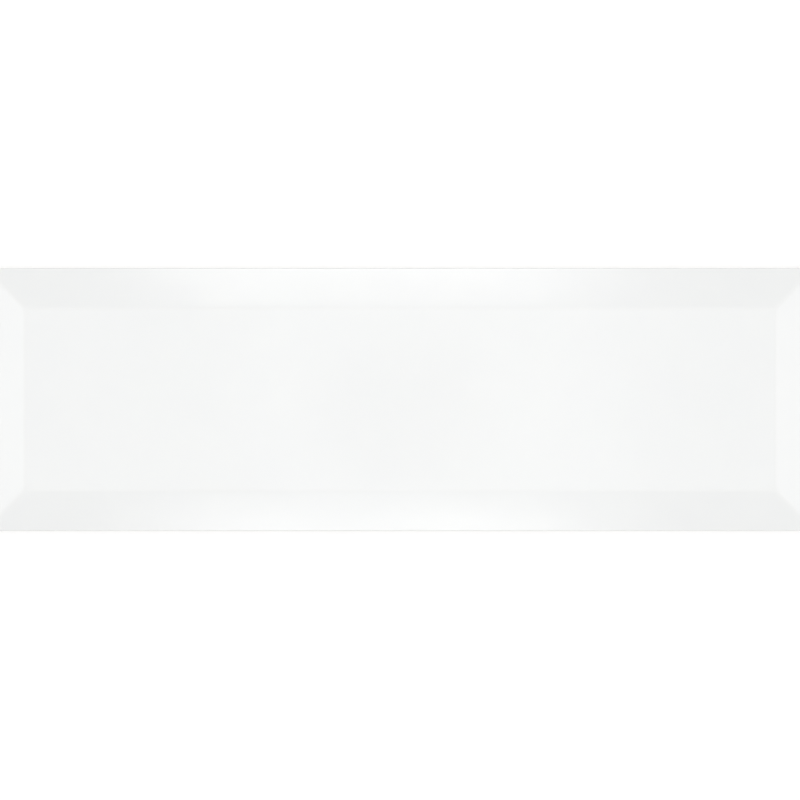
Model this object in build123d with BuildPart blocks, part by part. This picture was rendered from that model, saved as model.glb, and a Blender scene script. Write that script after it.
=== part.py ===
"""Bevelled wall tile: one pressed, glazed and fired ceramic body.

A long white tile with a flat field in the middle and a sloping border on all four
sides. The slopes meet in mitred hips that run at 45 degrees out to the corners.
Every edge of the glazed side is rounded, because glaze draws back from sharp edges.
The back is keyed for adhesive with a grid of shallow drafted pockets.

Frame: millimetres, origin at the middle of the back, +X along the tile's length,
+Y across its width, +Z out of the glazed face.
"""

from math import atan2, degrees, floor
import os

from build123d import *

# Overall size of the fired tile
tile_length = 300.0
tile_width = 95.0
tile_thickness = 8.0

# Sloping border of the glazed side: its width in plan, and how far it falls
bevel_width = 14.8
bevel_drop = 3.2

# Rounding of the glazed side: the ridges and hips, then the roll over the outer edge
ridge_radius = 9.0
edge_radius = 0.6

# Plan rounding of the four corners inside the roll, and the chamfer round the back
corner_rounding = 0.9
back_chamfer = 0.8

# Adhesive key on the back: square pockets between ribs, inside a plain rim
key_rim = 4.5
key_pocket = 12.4
key_rib = 2.2
key_depth = 0.7
key_draft = 30.0

# The flat field, the height left at the outer edge, and the slope between them
field_length = tile_length - 2 * bevel_width
field_width = tile_width - 2 * bevel_width
edge_height = tile_thickness - bevel_drop
bevel_angle = degrees(atan2(bevel_drop, bevel_width))

# The roll goes round the corners as well, so the outline adds its radius to their rounding
corner_radius = corner_rounding + edge_radius

# Carried on down to the back plane, the slopes would spread this far from the field
slope_reach = tile_thickness * bevel_width / bevel_drop
roof_length = field_length + 2 * slope_reach
roof_width = field_width + 2 * slope_reach

# Even counts of pockets, so that two ribs always cross at the middle of the back
key_pitch = key_pocket + key_rib
key_columns = 2 * floor((tile_length - 2 * key_rim + key_rib) / (2 * key_pitch))
key_rows = 2 * floor((tile_width - 2 * key_rim + key_rib) / (2 * key_pitch))

with BuildPart() as bevelled_tile:
    # Two roof shapes cross: one slopes to the long sides, the other to the ends.
    # What they share has the flat field, the four slopes and the mitred hips.
    with BuildSketch(Plane.YZ):
        Trapezoid(roof_width, tile_thickness, bevel_angle, align=(Align.CENTER, Align.MIN))
    extrude(amount=roof_length / 2, both=True)
    with BuildSketch(Plane.XZ):
        Trapezoid(roof_length, tile_thickness, bevel_angle, align=(Align.CENTER, Align.MIN))
    extrude(amount=roof_width / 2, both=True, mode=Mode.INTERSECT)

    # Ridges round the field and hips between the slopes share one soft radius,
    # so they blend into a ball corner at each corner of the field
    roof_outline = edges().group_by(Axis.Z)[0]
    fillet(edges() - roof_outline, radius=ridge_radius)

    # The press die cuts the roof shape to the tile's outline
    with BuildSketch(Plane.XY):
        RectangleRounded(tile_length, tile_width, corner_radius)
    extrude(amount=tile_thickness, mode=Mode.INTERSECT)

    # The glaze rolls over the outer edge, and the back edge is eased
    outer_edge = edges().filter_by_position(Axis.Z, edge_height - edge_radius, edge_height + edge_radius)
    fillet(outer_edge, radius=edge_radius)
    chamfer(faces().sort_by(Axis.Z)[0].edges(), length=back_chamfer)

    # Adhesive key: the pockets narrow as they go in, so that the punch draws out
    with BuildSketch(Plane.XY):
        with GridLocations(key_pitch, key_pitch, key_columns, key_rows):
            Rectangle(key_pocket, key_pocket)
    extrude(amount=key_depth, taper=key_draft, mode=Mode.SUBTRACT)

bevelled_tile.part.label = "bevelled_tile"

os.makedirs("parts", exist_ok=True)
export_step(bevelled_tile.part, "parts/bevelled_tile.step")
print("bevelled tile:", key_columns, "x", key_rows, "key pockets,", round(bevelled_tile.part.volume), "mm3")
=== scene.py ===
# %% [markdown]
# # A bevelled wall tile, glazed white
#
# The real tile is one piece of clay powder, pressed in a die, fired, glazed on its face and
# fired again. The solid model already has its true size: a flat field, four sloping borders
# that meet in mitred hips, and a back keyed for adhesive. It is loaded first and is never
# changed, so that the glazed piece made here takes its place and its size from it.

# %% Load the frame
from math import atan2, cos, degrees, pi, radians, sin, sqrt, tan

import bmesh
import bpy
import numpy as np
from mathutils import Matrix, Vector, noise


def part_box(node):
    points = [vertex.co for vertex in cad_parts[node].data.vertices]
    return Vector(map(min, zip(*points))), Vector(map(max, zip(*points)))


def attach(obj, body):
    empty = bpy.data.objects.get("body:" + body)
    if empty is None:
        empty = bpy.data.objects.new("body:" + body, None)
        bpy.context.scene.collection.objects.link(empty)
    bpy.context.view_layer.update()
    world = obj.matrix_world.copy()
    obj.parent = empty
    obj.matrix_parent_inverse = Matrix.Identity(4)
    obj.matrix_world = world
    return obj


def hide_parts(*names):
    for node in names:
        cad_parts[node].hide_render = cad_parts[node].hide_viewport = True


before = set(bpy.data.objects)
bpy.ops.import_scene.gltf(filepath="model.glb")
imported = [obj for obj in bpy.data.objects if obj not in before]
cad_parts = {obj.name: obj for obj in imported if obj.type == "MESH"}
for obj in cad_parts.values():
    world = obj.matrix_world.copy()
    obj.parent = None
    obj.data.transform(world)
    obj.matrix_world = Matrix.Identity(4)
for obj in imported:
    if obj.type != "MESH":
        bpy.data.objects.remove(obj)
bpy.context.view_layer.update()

# %% [markdown]
# ## The sizes that the eye reads
#
# Blender works in metres, but a tile maker thinks in millimetres, so sizes stay in
# millimetres here and are turned to metres when a mesh point is made. Length, width and
# thickness are read from the loaded solid, and the other sizes repeat those of the solid.

# %% Real sizes in millimetres
MM = 0.001
low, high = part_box("bevelled_tile")
length, width, thickness = [(high[axis] - low[axis]) / MM for axis in range(3)]

bevel_width = 14.8
bevel_drop = 3.2
ridge_radius = 9.0
edge_radius = 0.6
corner_radius = 1.5
back_chamfer = 0.8

slope = atan2(bevel_drop, bevel_width)
edge_height = thickness - bevel_drop
print(f"tile {length:.1f} x {width:.1f} x {thickness:.1f} mm, slopes at {degrees(slope):.1f} degrees")

# %% [markdown]
# ## The rounds of the section: ridge and outer roll
#
# Cut across, the glazed side is a flat, a soft ridge, a slope, and a tight roll over the
# outer edge. A bevel modifier could round a plain block, but it can't say how the glaze lies
# on it, so the section is drawn point by point. Each point is an inset from the tile's
# outline, a height above its back, and how thin the glaze is drawn there: melted glaze pulls
# away from every rounded edge, most of all at the middle of the round.

# %% Ridge and roll
def arc(centre, radius, start, end, steps):
    """Points of a round in the section, with angles measured from straight up towards the outline."""
    points = []
    for share in np.linspace(0, 1, steps + 1):
        turn = start + share * (end - start)
        points.append((centre[0] - radius * sin(turn), centre[1] + radius * cos(turn), sin(pi * share)))
    return points


round_steps = 10
ridge_tangent = ridge_radius * tan(slope / 2)
ridge_centre = (bevel_width + ridge_tangent, thickness - ridge_radius)
ridge = arc(ridge_centre, ridge_radius, 0, slope, round_steps)

roll_height = edge_height + edge_radius * tan(slope) - edge_radius / cos(slope)
roll = arc((edge_radius, roll_height), edge_radius, slope, pi / 2, round_steps)
print("section:", len(ridge), "ridge and", len(roll), "roll points")

# %% [markdown]
# ## The slope between them
#
# The slope is straight, so a few even points would do. Smooth shading spreads the turn of the
# roll over the first face beside it, though, and a wide face there would shine as if it were
# curved. One more point close to the roll keeps the slope's gloss flat right up to the edge.

# %% Slope
bevel_steps = 8
guard_gap = 0.15
slope_top = np.array(ridge[-1])
slope_foot = np.array(roll[0])
slope_run = slope_top[0] - slope_foot[0]
bevel_shares = np.append(np.linspace(0, 1, bevel_steps + 1)[1:-1], 1 - guard_gap / slope_run)
bevel = [tuple(slope_top + share * (slope_foot - slope_top)) for share in bevel_shares]
print("slope:", len(bevel), "points over", round(slope_run, 2), "mm")

# %% [markdown]
# ## The section of the edge
#
# Below the roll the glaze thins to a slight waist and then stops in a small lip, because the
# edge is wiped before firing so that tiles don't stick together in the kiln. Under the lip
# the bare clay is set back by the thickness of the glaze, and a chamfer eases the back edge.
# The lip is a real step in the mesh: a colour change alone would look printed.

# %% Section of the edge
glaze_thickness = 0.18
glaze_end = 2.5
lip_height = 0.3
waist_depth = 0.06

waist = [
    (waist_depth * sin(pi * share), roll_height + share * (glaze_end + lip_height - roll_height), 0.0)
    for share in np.linspace(0, 1, 7)[1:-1]
]
lip = [
    (glaze_thickness * (1 - cos(turn)), glaze_end + lip_height * (1 - sin(turn)), 0.0)
    for turn in np.linspace(0, pi / 2, 6)
]
clay_heights = np.linspace(glaze_end, back_chamfer - glaze_thickness, 4)[1:]
clay_wall = [(glaze_thickness, height, 0.0) for height in clay_heights]
clay_foot = [(back_chamfer, 0.0, 0.0)]
print("edge section:", len(waist + lip), "glazed and", len(clay_wall + clay_foot), "bare points")

# %% [markdown]
# ## Rings round the tile
#
# Each point of the section becomes a closed ring that follows the tile's outline, with a
# small plan radius at its corners. Stacked rings joined by quads give clean, even faces, so
# that highlights run straight along a slope and turn neatly over a hip.

# %% Plan of a ring
long_steps = 150
short_steps = 46
corner_steps = 8
hip_radius = ridge_radius * sin(atan2(tan(slope), sqrt(2)))


def outline(inset, radius):
    """A closed ring of the plan at this inset, anticlockwise: x, y and how near the middle of a hip."""
    reach = np.array([length / 2 - inset, width / 2 - inset])
    corners = []
    for quarter, signs in enumerate([(1, 1), (-1, 1), (-1, -1), (1, -1)]):
        turns = np.linspace(quarter, quarter + 1, corner_steps + 1) * pi / 2
        round_part = radius * np.column_stack([np.cos(turns), np.sin(turns)])
        corners.append((reach - radius) * signs + round_part)
    hip_shares = np.sin(np.linspace(0, pi, corner_steps + 1))
    ring = []
    for corner, following, steps in zip(corners, corners[1:] + corners[:1], (long_steps, short_steps) * 2):
        ring.extend((x, y, share) for (x, y), share in zip(corner, hip_shares))
        ring.extend((x, y, 0.0) for x, y in np.linspace(corner[-1], following[0], steps + 1)[1:-1])
    return ring


print(len(outline(0, corner_radius)), "points a ring, hips rounded by", round(hip_radius, 2), "mm in plan")

# %% [markdown]
# ## Waves and runs of the glaze
#
# Fired glaze is never quite flat. It keeps shallow waves a few hundredths of a millimetre
# high, which bend whatever it mirrors, and the line where it stops on the edge wanders. Both
# come from smooth noise that is read at each point's place, so the waves run on from the
# field over the slopes without a break.

# %% Uneven glaze
def swell(x, y, spacing, height, seed):
    """Smooth noise at a place: its spacing along and across the tile, and its height, in millimetres."""
    return height * noise.noise(Vector((x / spacing[0], y / spacing[1], seed)))


def glaze_waves(x, y):
    """How far the fired glaze rises or dips at this place, in millimetres."""
    return swell(x, y, (42, 30), 0.034, seed=3.1) + swell(x, y, (16, 13), 0.018, seed=8.4)


def glaze_run(x, y):
    """How far the lower end of the glaze wanders here, in millimetres."""
    return swell(x, y, (19, 19), 0.3, seed=5.7) + swell(x, y, (5, 5), 0.1, seed=1.3)


print(f"the wave at the middle of the field is {glaze_waves(0, 0):.3f} mm high")

# %% [markdown]
# ## Stacking the rings
#
# From the field outwards and down, every point of the section gets its ring. The waves fade
# out over the foot of the slope, so that the edge stays straight enough to lay. To leave them
# room under the tile's full thickness, the whole face lies a few hundredths of a millimetre
# low: lowering the field alone would tilt the slopes and change what they mirror.

# %% Stack the rings
wave_fade = 6.0
wave_room = 0.055
field_height = thickness - wave_room


def ring_points(inset, height, thin, run=0.0):
    """Points of one ring: place, with the waves and the run of the glaze, and how thin the glaze is."""
    on_face = height > roll_height
    radius = corner_radius - inset
    if on_face:
        radius = np.interp(inset, [0, edge_radius], [corner_radius, hip_radius])
    wave_share = on_face * np.interp(inset, [edge_radius, wave_fade], [0, 1])
    lowered = height - wave_room * np.interp(height, [roll_height, edge_height], [0, 1])
    return [
        (x, y, lowered + wave_share * glaze_waves(x, y) + run * glaze_run(x, y), max(thin, on_face * hip))
        for x, y, hip in outline(inset, radius)
    ]


waist_runs = np.linspace(0, 1, len(waist) + 1)[1:]
rings = [ring_points(*point) for point in ridge + bevel + roll]
rings += [ring_points(*point, run=share) for point, share in zip(waist, waist_runs)]
rings += [ring_points(*point, run=1.0) for point in lip]
glazed_rings = len(rings)
rings += [ring_points(*point) for point in clay_wall + clay_foot]
print(len(rings), "rings, of which", glazed_rings, "are glazed")

# %% [markdown]
# ## Points and quads
#
# A bmesh is Blender's mesh for editing in code. Two helpers are enough for the whole tile:
# one makes points from millimetres, and one lays a strip of quads between two rows of them.
# How thin the glaze is goes along as a number on each point, for the glaze's colour to use,
# and each face remembers its material: 0 is glaze and 1 is bare clay.

# %% Mesh helpers
GLAZE, BISCUIT = 0, 1
mesh = bmesh.new()
thin_layer = mesh.verts.layers.float.new("thin_glaze")


def vertices(points):
    """Mesh points for places in millimetres and the thinness of the glaze there."""
    made = []
    for x, y, z, thin in points:
        vertex = mesh.verts.new((x * MM, y * MM, z * MM))
        vertex[thin_layer] = thin
        made.append(vertex)
    return made


def strip(first, second, material, closed):
    """Quads between two rows of mesh points of the same length."""
    count = len(first)
    for index in range(count if closed else count - 1):
        after = (index + 1) % count
        mesh.faces.new([first[index], second[index], second[after], first[after]]).material_index = material


print("materials:", {"glaze": GLAZE, "biscuit": BISCUIT})

# %% [markdown]
# ## The skin: field, slopes and edge
#
# The rings are joined one to the next. The field closes them at the top as a plain grid. Its
# outer row lies on a ring with square corners, a little inside the ridge, so the two share
# their points, and one weld later on makes them a single skin.

# %% Build the skin
field_margin = 2.0
field_inset = bevel_width + ridge_tangent + field_margin
field_ring = [(x, y, field_height + glaze_waves(x, y), 0.0) for x, y, hip in outline(field_inset, 0.0)]
rows = [vertices(ring) for ring in [field_ring] + rings]
for index, (inner, outer) in enumerate(zip(rows, rows[1:])):
    strip(inner, outer, GLAZE if index < glazed_rings else BISCUIT, closed=True)

field_x = np.linspace(-1, 1, long_steps + 1) * (length / 2 - field_inset)
field_y = np.linspace(-1, 1, short_steps + 1) * (width / 2 - field_inset)
field = [vertices([(x, y, field_height + glaze_waves(x, y), 0.0) for x in field_x]) for y in field_y]
for near, far in zip(field, field[1:]):
    strip(near, far, GLAZE, closed=False)
print("skin faces:", len(mesh.faces))

# %% [markdown]
# ## The keyed back: sizes of the pockets
#
# Adhesive grips a tile by a grid of shallow pockets pressed into its back. They are as many as
# fit inside a plain rim, in even counts, so that two ribs cross at the middle. Their walls
# slant, so that the punch can draw out, and the walls are eased a little at both ends, as
# pressed powder is.

# %% Sizes of the key
key_rim = 4.5
key_pocket = 12.4
key_rib = 2.2
key_depth = 0.7
key_draft = radians(30)
wall_ease = 0.2

key_pitch = key_pocket + key_rib
key_columns = 2 * int((length - 2 * key_rim + key_rib) / (2 * key_pitch))
key_rows = 2 * int((width - 2 * key_rim + key_rib) / (2 * key_pitch))
wall_run = key_depth * tan(key_draft) + wall_ease
print(key_columns, "x", key_rows, "pockets, walls", round(wall_run, 2), "mm wide in plan")

# %% [markdown]
# ## Pressing the pockets
#
# Cutting many pockets with booleans leaves untidy faces, so the back is one grid of points
# whose depth is worked out: along each axis a pocket ramps from the rib down to its floor, and
# the depth at a place is the lesser of the two.

# %% Press the pockets
wall_shares = np.linspace(0, 1, 5)


def pocket_lines(count):
    """Grid lines across a row of pockets, each with its depth: ribs lie at 0, floors at the full depth."""
    lines = []
    for middle in (np.arange(count) - (count - 1) / 2) * key_pitch:
        for side, shares in ((-1, wall_shares), (1, wall_shares[::-1])):
            for share in shares:
                eased = share * share * (3 - 2 * share)
                lines.append((middle + side * (key_pocket / 2 - share * wall_run), key_depth * eased))
    return lines


key_x = pocket_lines(key_columns)
back = [
    vertices([(x, y, min(depth_x, depth_y), 0.0) for x, depth_x in key_x])
    for y, depth_y in pocket_lines(key_rows)
]
for near, far in zip(back, back[1:]):
    strip(near, far, BISCUIT, closed=False)
print("back grid:", len(back), "x", len(key_x), "points")

# %% [markdown]
# ## Closing the rim
#
# One weld joins the points that the field and the rings share. What is still open is the flat
# rim between the grid of pockets and the foot of the edge, so triangles fill it, and the tile
# is a closed skin.

# %% Close the rim
weld_distance = 0.001
bmesh.ops.remove_doubles(mesh, verts=mesh.verts, dist=weld_distance * MM)
open_edges = [edge for edge in mesh.edges if edge.is_boundary]
rim = bmesh.ops.triangle_fill(mesh, edges=open_edges, use_beauty=True)
for face in rim["geom"]:
    if isinstance(face, bmesh.types.BMFace):
        face.material_index = BISCUIT
bmesh.ops.recalc_face_normals(mesh, faces=mesh.faces)
print("open edges left:", sum(edge.is_boundary for edge in mesh.edges))

# %% [markdown]
# ## One object in the frame
#
# Glaze melts smooth, so all faces are shaded smooth, and only the crisp edges of the bare
# clay stay sharp. The finished piece stands for the solid of the same tile and rides on its
# one body.

# %% Make the tile object
sharp_angle = radians(35)
for face in mesh.faces:
    face.smooth = True
for edge in mesh.edges:
    edge.smooth = edge.calc_face_angle(0) < sharp_angle

tile_mesh = bpy.data.meshes.new("glazed_tile")
mesh.to_mesh(tile_mesh)
mesh.free()
tile = bpy.data.objects.new("glazed_tile", tile_mesh)
bpy.context.collection.objects.link(tile)
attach(tile, "root")
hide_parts("bevelled_tile")
print("tile faces:", len(tile_mesh.polygons))

# %% [markdown]
# ## Building materials from nodes
#
# Colours are easiest to choose as sRGB hex values, but the shader adds up light, so one
# function turns them to linear. Another adds a node with its settings and its inputs, where
# an input is either a plain value or another node's output. An input has a name, but some
# nodes use one name twice, so those are called by number: in a colour Mix, 0 is the share and
# 6 and 7 are the two colours. In a Map Range, 0 is what is read, 1 and 2 are the range it comes
# in, and 3 and 4 the range it is given. Every material reads its object's own coordinates in
# millimetres, so that a pattern's scale is one over its real size.

# %% Helpers for materials
def linear(hex_colour):
    """An sRGB hex colour, such as #F2F4F3, as linear RGBA."""
    channels = [int(hex_colour[start:start + 2], 16) / 255 for start in (1, 3, 5)]
    return [c / 12.92 if c <= 0.04045 else ((c + 0.055) / 1.055) ** 2.4 for c in channels] + [1.0]


def add_node(tree, kind, inputs, **settings):
    """Adds a shader node with these settings, and sets or links its inputs."""
    made = tree.nodes.new("ShaderNode" + kind)
    for name, value in settings.items():
        setattr(made, name, value)
    for name, value in inputs.items():
        if isinstance(value, bpy.types.NodeSocket):
            tree.links.new(value, made.inputs[name])
        else:
            made.inputs[name].default_value = value
    return made


def new_material(name):
    """An empty material, with its node tree and the object's own coordinates in millimetres."""
    material = bpy.data.materials.new(name)
    material.use_nodes = True
    material.node_tree.nodes.clear()
    place = add_node(material.node_tree, "TexCoord", {}).outputs["Object"]
    scaled = add_node(material.node_tree, "VectorMath", {0: place, "Scale": 1 / MM}, operation="SCALE")
    return material, material.node_tree, scaled.outputs[0]


print("white glaze, linear:", [round(channel, 3) for channel in linear("#F2F4F3")])

# %% [markdown]
# ## White gloss glaze: its colour
#
# A white tile glaze is a thin glass made opaque by tiny crystals. It gives the eye a clean,
# very slightly cool white. It isn't perfectly even: the crystals cloud it a little, and where
# it is drawn thin over a ridge, a hip or the outer roll, the cream clay below just warms and
# darkens it.

# %% Glaze colour
glaze, tree, millimetres = new_material("white_gloss_glaze")
cloud_size = 16.0
clay_share = 0.04
cloud = add_node(tree, "TexNoise", {"Vector": millimetres, "Scale": 1 / cloud_size, "Detail": 3.0})
body_tone = add_node(
    tree,
    "Mix",
    {0: cloud.outputs["Fac"], 6: linear("#F1F2F2"), 7: linear("#F4F5F4")},
    data_type="RGBA",
)
thin = add_node(tree, "Attribute", {}, attribute_name="thin_glaze")
show_through = add_node(tree, "Math", {0: thin.outputs["Fac"], 1: clay_share}, operation="MULTIPLY")
glaze_tone = add_node(
    tree,
    "Mix",
    {0: show_through.outputs[0], 6: body_tone.outputs[2], 7: linear("#E6E3DC")},
    data_type="RGBA",
)
print("glaze clouds", cloud_size, "mm across")

# %% [markdown]
# ## White gloss glaze: its mirror
#
# Fired glaze is glass, so its IOR is that of glass and its gloss is clear. Two things keep it
# from a perfect mirror: a faint orange-peel ripple, which softens the border of everything it
# mirrors, and the clouds, where the crystals that reach the surface dull it by a trace.

# %% Glaze gloss
ripple_size = 2.6
ripple_depth = 0.02
ripple = add_node(tree, "TexNoise", {"Vector": millimetres, "Scale": 1 / ripple_size, "Detail": 1.0})
ripple_bump = add_node(
    tree,
    "Bump",
    {"Height": ripple.outputs["Fac"], "Strength": 0.5, "Distance": ripple_depth * MM},
)
gloss = add_node(tree, "MapRange", {0: cloud.outputs["Fac"], "To Min": 0.06, "To Max": 0.1})
surface = add_node(
    tree,
    "BsdfPrincipled",
    {
        "Base Color": glaze_tone.outputs[2],
        "Roughness": gloss.outputs[0],
        "IOR": 1.52,
        "Normal": ripple_bump.outputs[0],
    },
)
add_node(tree, "OutputMaterial", {"Surface": surface.outputs[0]})
tile_mesh.materials.append(glaze)
print("orange peel", ripple_size, "mm apart")

# %% [markdown]
# ## Pressed biscuit clay: its colour
#
# Where there is no glaze the fired clay shows: cream, matt and dry. It is mixed from powders,
# so its tone drifts in patches, and coarse grains of ground fired clay freckle it. That keeps
# it from looking like paint.

# %% Biscuit colour
biscuit, tree, millimetres = new_material("pressed_biscuit_clay")
patch_size = 11.0
freckle_size = 0.8
patch = add_node(tree, "TexNoise", {"Vector": millimetres, "Scale": 1 / patch_size, "Detail": 4.0})
clay_tone = add_node(
    tree,
    "Mix",
    {0: patch.outputs["Fac"], 6: linear("#E6DFD3"), 7: linear("#F1ECE3")},
    data_type="RGBA",
)
freckle = add_node(tree, "TexVoronoi", {"Vector": millimetres, "Scale": 1 / freckle_size})
freckle_mask = add_node(tree, "MapRange", {0: freckle.outputs["Distance"], 1: 0.12, 2: 0.3, 3: 0.55, 4: 0.0})
freckled = add_node(
    tree,
    "Mix",
    {0: freckle_mask.outputs[0], 6: clay_tone.outputs[2], 7: linear("#C9BBA6")},
    data_type="RGBA",
)
print("clay freckles", freckle_size, "mm across")

# %% [markdown]
# ## Pressed biscuit clay: kiln wash
#
# The shelf in the kiln is painted with a white wash, so that tiles don't stick to it. Some of
# it has rubbed off on the ribs and the rim, which are the parts that touched. A mask of the
# height above the back finds them, and the patches break it up.

# %% Kiln wash
wash_reach = 0.16
height = add_node(tree, "SeparateXYZ", {0: millimetres}).outputs["Z"]
touching = add_node(tree, "MapRange", {0: height, 1: 0.02, 2: wash_reach, 3: 1.0, 4: 0.0})
rubbed = add_node(tree, "MapRange", {0: patch.outputs["Fac"], 1: 0.38, 2: 0.62, 3: 0.15, 4: 0.85})
wash_share = add_node(tree, "Math", {0: touching.outputs[0], 1: rubbed.outputs[0]}, operation="MULTIPLY")
biscuit_tone = add_node(
    tree,
    "Mix",
    {0: wash_share.outputs[0], 6: freckled.outputs[2], 7: linear("#F5F2EC")},
    data_type="RGBA",
)
print("wash up to", wash_reach, "mm above the back")

# %% [markdown]
# ## Pressed biscuit clay: its surface
#
# Sliding out of the die has dragged fine upright lines into the walls. They are one noise that
# is stretched upwards, and the same noise, cut across, is the clay's grain on the back. Dry
# clay scatters light widely, so it is rough all over, and a little rougher where grains stand up.

# %% Biscuit surface
drag_width = 0.5
drag_length = 5.0
drag_depth = 0.12
stretch = [1 / drag_width, 1 / drag_width, 1 / drag_length]
dragged = add_node(tree, "VectorMath", {0: millimetres, 1: stretch}, operation="MULTIPLY")
grain = add_node(tree, "TexNoise", {"Vector": dragged.outputs[0], "Scale": 1.0, "Detail": 3.0})
grain_bump = add_node(
    tree,
    "Bump",
    {"Height": grain.outputs["Fac"], "Strength": 0.6, "Distance": drag_depth * MM},
)
dryness = add_node(tree, "MapRange", {0: grain.outputs["Fac"], "To Min": 0.74, "To Max": 0.95})
surface = add_node(
    tree,
    "BsdfPrincipled",
    {
        "Base Color": biscuit_tone.outputs[2],
        "Roughness": dryness.outputs[0],
        "IOR": 1.45,
        "Normal": grain_bump.outputs[0],
    },
)
add_node(tree, "OutputMaterial", {"Surface": surface.outputs[0]})
tile_mesh.materials.append(biscuit)
print("die lines", drag_width, "mm apart")

# %% [markdown]
# ## A floor to lie on
#
# The tile lies on one wide, plain face, just below its ribs, so that the two never share a
# plane.

# %% Floor
floor_half = 12.0
floor_gap = 0.05
floor_corners = [(x * floor_half, y * floor_half, 0) for x, y in ((-1, -1), (1, -1), (1, 1), (-1, 1))]
floor_mesh = bpy.data.meshes.new("white_floor")
floor_mesh.from_pydata(floor_corners, [], [(0, 1, 2, 3)])
floor = bpy.data.objects.new("white_floor", floor_mesh)
floor.location.z = low[2] - floor_gap * MM
bpy.context.collection.objects.link(floor)
print("floor", 2 * floor_half, "m across")

# %% [markdown]
# ## Matt white floor paint: as it is looked at
#
# The floor looks white around the tile and falls off with distance, to the tone of the
# surround, so that the two meet without a line. Lamps bright enough to burn a floor out would
# burn out the tile as well. Instead the floor gets a lift of its own, on top of a matt grey
# that keeps the tile's soft shadow.

# %% Floor as it is seen
fade_start = 220.0
fade_end = 2200.0
horizon_level = 0.4
floor_lift = 0.54
floor_paint, tree, millimetres = new_material("matt_white_floor")
shaded = add_node(tree, "BsdfDiffuse", {"Color": linear("#C0C0C0")})
lift = add_node(tree, "Emission", {"Strength": floor_lift})
near_floor = add_node(tree, "AddShader", {0: shaded.outputs[0], 1: lift.outputs[0]})
far_floor = add_node(tree, "Emission", {"Strength": horizon_level})
away = add_node(tree, "VectorMath", {0: millimetres}, operation="LENGTH")
far_share = add_node(
    tree,
    "MapRange",
    {0: away.outputs["Value"], 1: fade_start, 2: fade_end, 3: 0.0, 4: 1.0},
    interpolation_type="SMOOTHSTEP",
)
looked_at = add_node(
    tree,
    "MixShader",
    {0: far_share.outputs[0], 1: near_floor.outputs[0], 2: far_floor.outputs[0]},
)
print("floor fades from", fade_start, "to", fade_end, "mm")

# %% [markdown]
# ## Matt white floor paint: as it gives light
#
# Only direct looks and mirrored looks may see the lift, or the floor would light the tile from
# below like a lamp. Blender's Light Path says what a ray is for: rays from the camera, a mirror
# or glass see the lifted floor, and all other rays meet plain white paint.

# %% Floor as it gives light
ray = add_node(tree, "LightPath", {}).outputs
looks = add_node(tree, "Math", {0: ray["Is Camera Ray"], 1: ray["Is Glossy Ray"]}, operation="ADD")
seen_directly = add_node(
    tree,
    "Math",
    {0: looks.outputs[0], 1: ray["Is Transmission Ray"]},
    operation="ADD",
    use_clamp=True,
)
plain = add_node(tree, "BsdfDiffuse", {"Color": linear("#F2F2F2")})
floor_surface = add_node(
    tree,
    "MixShader",
    {0: seen_directly.outputs[0], 1: plain.outputs[0], 2: looked_at.outputs[0]},
)
add_node(tree, "OutputMaterial", {"Surface": floor_surface.outputs[0]})
floor_mesh.materials.append(floor_paint)
print("floor paint:", floor_paint.name)

# %% [markdown]
# ## The surround
#
# A gloss glaze is only as readable as what it mirrors. The tile lies under a light tent that
# is open at the sides, so the surround is bright overhead and a quiet grey round the horizon.
# Seen from low down, the field then mirrors the grey, and the slopes that face the eye
# mirror the tent.

# %% Surround
grey_top = 26.0
tent_edge = 38.0
tent_level = 0.593
world = bpy.data.worlds.new("light_tent")
bpy.context.scene.world = world
world.use_nodes = True
tree = world.node_tree
tree.nodes.clear()
direction = add_node(tree, "TexCoord", {}).outputs["Generated"]
upward = add_node(tree, "SeparateXYZ", {0: direction}).outputs["Z"]
brightness = add_node(
    tree,
    "MapRange",
    {0: upward, 1: sin(radians(grey_top)), 2: sin(radians(tent_edge)), 3: horizon_level, 4: tent_level},
    interpolation_type="SMOOTHSTEP",
)
backdrop = add_node(tree, "Background", {"Color": linear("#FFFFFF"), "Strength": brightness.outputs[0]})
add_node(tree, "OutputWorld", {"Surface": backdrop.outputs[0]})
print("surround from", horizon_level, "at the horizon to", tent_level, "overhead")

# %% [markdown]
# ## The cloth of a soft box
#
# A gloss tile shows the lamps as much as its own colour. Blender's area lamps are evenly
# bright with hard borders, so each lamp gets nodes that fade it from its middle to its
# border, as cloth in front of a bulb does. The lamp's own coordinates run from 0 to 1 across
# it, and the feather is the share of each side over which it fades.

# %% Cloth front
half_side = 0.5


def cloth_front(lamp, feather):
    """Nodes that fade a lamp over the outer share of its width and its height."""
    lamp.use_nodes = True
    tree = lamp.node_tree
    tree.nodes.clear()
    spot = add_node(tree, "NewGeometry", {}).outputs["Parametric"]
    middle = (half_side, half_side, 0)
    centred = add_node(tree, "VectorMath", {0: spot, 1: middle}, operation="SUBTRACT", name="centred")
    spread = add_node(tree, "VectorMath", {0: centred.outputs[0]}, operation="ABSOLUTE")
    axes = add_node(tree, "SeparateXYZ", {0: spread.outputs[0]}).outputs
    borders = [
        add_node(
            tree,
            "MapRange",
            {0: axes[axis], 1: half_side * (1 - feather[axis]), 2: half_side, 3: 1.0, 4: 0.0},
            interpolation_type="SMOOTHSTEP",
        )
        for axis in range(2)
    ]
    faded = add_node(tree, "Math", {0: borders[0].outputs[0], 1: borders[1].outputs[0]}, operation="MULTIPLY")
    glow = add_node(tree, "Emission", {"Strength": faded.outputs[0]}, name="glow")
    add_node(tree, "OutputLight", {0: glow.outputs[0]})


print("a lamp's own coordinates reach", half_side, "to either side of its middle")
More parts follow.
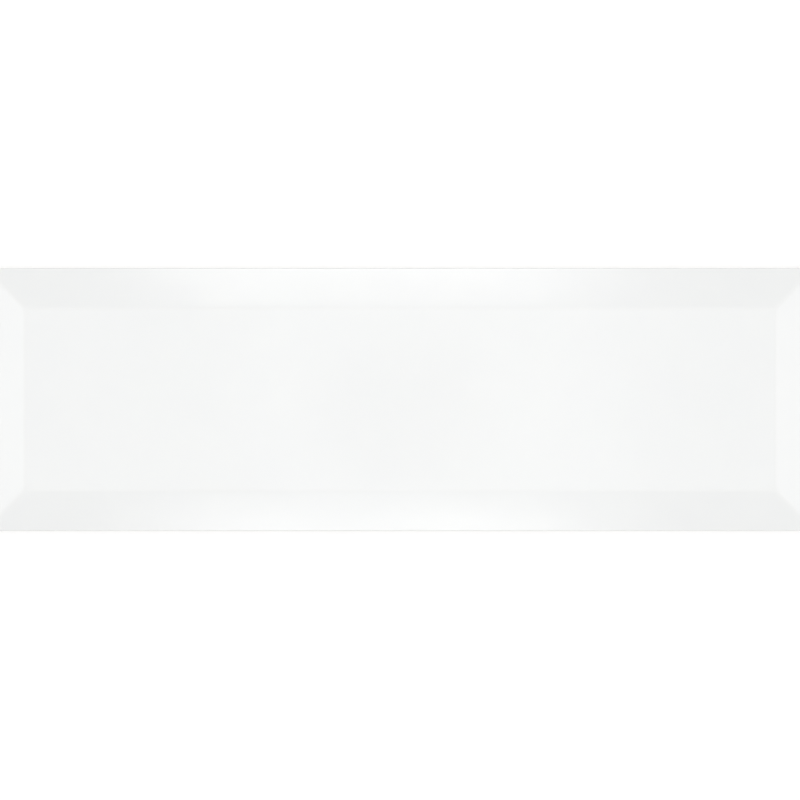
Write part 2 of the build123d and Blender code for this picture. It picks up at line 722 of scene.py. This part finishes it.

# %% [markdown]
# ## Soft boxes
#
# A lamp's level is given as the brightness of its face, so that boxes of different sizes
# compare directly: Blender wants the power in watts, which is that brightness times the area
# and pi. A box overhead leans towards the tile from its place, and a box that stands on the
# ground is turned as given.

# %% A soft box
def soft_box(name, place, size, level, feather, turn=None):
    """A panel of light at a place in metres, aimed at the tile or turned as given."""
    lamp = bpy.data.lights.new(name, "AREA")
    lamp.shape = "RECTANGLE"
    lamp.size, lamp.size_y = size
    lamp.energy = level * pi * size[0] * size[1]
    cloth_front(lamp, feather)
    panel = bpy.data.objects.new(name, lamp)
    panel.location = place
    panel.rotation_euler = turn or (-atan2(place[1], place[2]), atan2(place[0], place[2]), 0)
    panel.visible_camera = False
    bpy.context.collection.objects.link(panel)
    print(f"{name}: {lamp.energy:.2f} W")
    return panel


# %% [markdown]
# ## The tent overhead
#
# Seen from straight above, the field mirrors the roof of the tent, the long slopes mirror a
# box on either side, bright by the middle of the tile and gone towards its ends, and the end
# slopes mirror a wide box at each end. The box at the rear is a little stronger.

# %% Place the tent's boxes
tent_height = 1.0
for side, level in ((1, 5.5), (-1, 5.0)):
    long_side = (-0.017, 0.696 * side, tent_height)
    soft_box("long_side_box", long_side, (0.58, 0.43), level, feather=(0.67, 1.0))
for side in (-1, 1):
    soft_box("end_box", (0.71 * side, 0.0, tent_height), (0.42, 1.42), level=1.7, feather=(0.52, 1.0))
soft_box("tent_roof", (0.0, 0.0, tent_height), (1.60, 1.00), level=0.73, feather=(0.86, 0.3))
middle_place = (0.033, 0.0, tent_height)
roof_middle = soft_box("roof_middle", middle_place, (0.40, 1.10), level=0.47, feather=(0.48, 0.2))

# %% [markdown]
# ## The opening for the lens
#
# The roof of a tent has an opening for the lens, and the field mirrors it as a soft, slightly
# darker patch near its middle. The opening is one more fade in the nodes of the roof's
# middle: a round patch whose strength is taken away, with a soft rim.

# %% Open the roof
gap_middle = (-0.038, -0.004)
gap_half = (0.078, 0.072)
tree = roof_middle.data.node_tree
centred = tree.nodes["centred"].outputs[0]
strength = tree.nodes["glow"].inputs["Strength"]
full_strength = strength.links[0].from_socket
roof_size = (roof_middle.data.size, roof_middle.data.size_y)
scale = [size / half for size, half in zip(roof_size, gap_half)] + [0]
shift = [-middle / half for middle, half in zip(gap_middle, gap_half)] + [0]
gap = add_node(tree, "VectorMath", {0: centred, 1: scale, 2: shift}, operation="MULTIPLY_ADD")
away = add_node(tree, "VectorMath", {0: gap.outputs[0]}, operation="LENGTH")
rim = add_node(tree, "MapRange", {0: away.outputs["Value"], 1: 0.6, 2: 1.3}, interpolation_type="SMOOTHSTEP")
opened = add_node(tree, "Math", {0: full_strength, 1: rim.outputs[0]}, operation="MULTIPLY")
tree.links.new(opened.outputs[0], strength)
print("lens opening", [round(2 * half, 3) for half in gap_half], "m across")

# %% [markdown]
# ## Strip lights round the tile
#
# From above nobody sees them, but from a low seat a gloss field would mirror nothing except
# the even grey round the horizon, and would look matt. Narrow strip lights standing in a
# circle give it a soft streak from every side, and they brighten the tile's edges.

# %% Place the strips
strip_count = 16
strip_reach = 1.4
strip_height = 0.6
strip_size = (0.12, 0.7)
strip_lean = atan2(strip_reach, strip_height)
for around in np.arange(strip_count) * 2 * pi / strip_count:
    place = (strip_reach * cos(around), strip_reach * sin(around), strip_height)
    turn = (strip_lean, 0, around + pi / 2)
    soft_box("strip_light", place, strip_size, level=0.75, feather=(0.6, 0.6), turn=turn)

# %% [markdown]
# ## The camera
#
# The camera hangs straight above the middle of the tile. A long lens keeps the slopes on both
# sides even. Its height follows from how wide the tile lies in the picture, and a step aside of
# a fraction of a millimetre sets the tile as high in the frame as it is in the photograph.

# %% Camera
picture_pixels = 800
tile_pixels = 263
pixels_above_middle = 0.5
lens = bpy.data.cameras.new("overhead_camera")
lens.sensor_width = 36.0
lens.lens = 100.0
seen_width = width * picture_pixels / tile_pixels
camera = bpy.data.objects.new("overhead_camera", lens)
camera.location.y = -pixels_above_middle * width / tile_pixels * MM
camera.location.z = (edge_height + seen_width * lens.lens / lens.sensor_width) * MM
bpy.context.collection.objects.link(camera)
bpy.context.scene.camera = camera
bpy.context.scene.view_settings.view_transform = "Standard"
print(f"camera {camera.location.z:.3f} m up, sees {seen_width:.0f} mm across")
